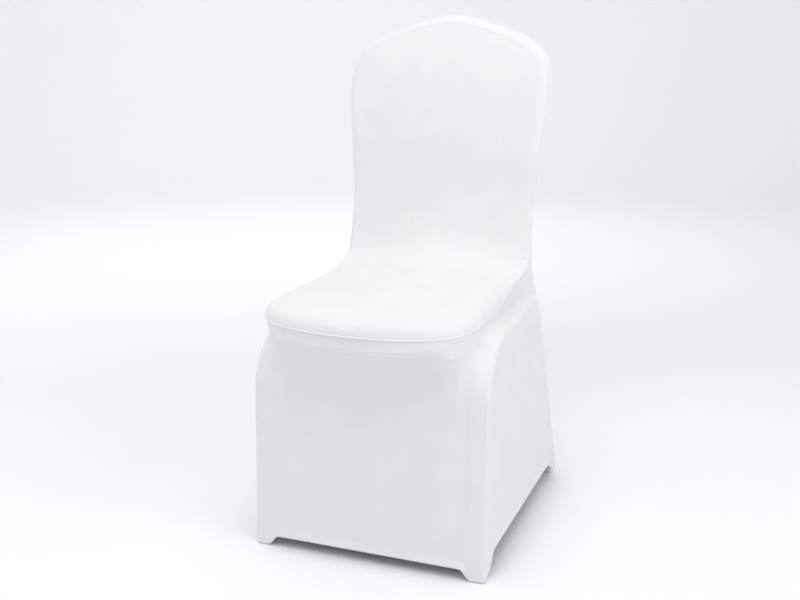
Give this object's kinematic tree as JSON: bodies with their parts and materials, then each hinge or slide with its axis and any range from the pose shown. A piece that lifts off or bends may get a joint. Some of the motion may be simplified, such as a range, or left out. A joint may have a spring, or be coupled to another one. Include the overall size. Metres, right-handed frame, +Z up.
{
  "type": "stretch chair cover",
  "caption": "Fitted stretch cover for a crown-back chair: a hollow cloth shell with seat and back in one, a full skirt, a hemmed edge and foot pockets.",
  "frame": {"origin": "the point under the top of the crown where the chair's back holds the cover up", "axes": "+Z up, +X to the right of someone who looks at the front, -Y out of the front"},
  "size_m": [0.4426, 0.6101, 0.93],
  "materials": {
    "white_stretch_knit": "white knitted polyester and spandex cloth, matt, faintly blue in shade"
  },
  "bodies": {
    "root": {"seat_back_panel": "white_stretch_knit", "rear_panel": "white_stretch_knit", "skirt": "white_stretch_knit", "foot_pocket_front_left": "white_stretch_knit", "foot_pocket_front_right": "white_stretch_knit", "foot_pocket_rear_left": "white_stretch_knit", "foot_pocket_rear_right": "white_stretch_knit"}
  },
  "joints": []
}
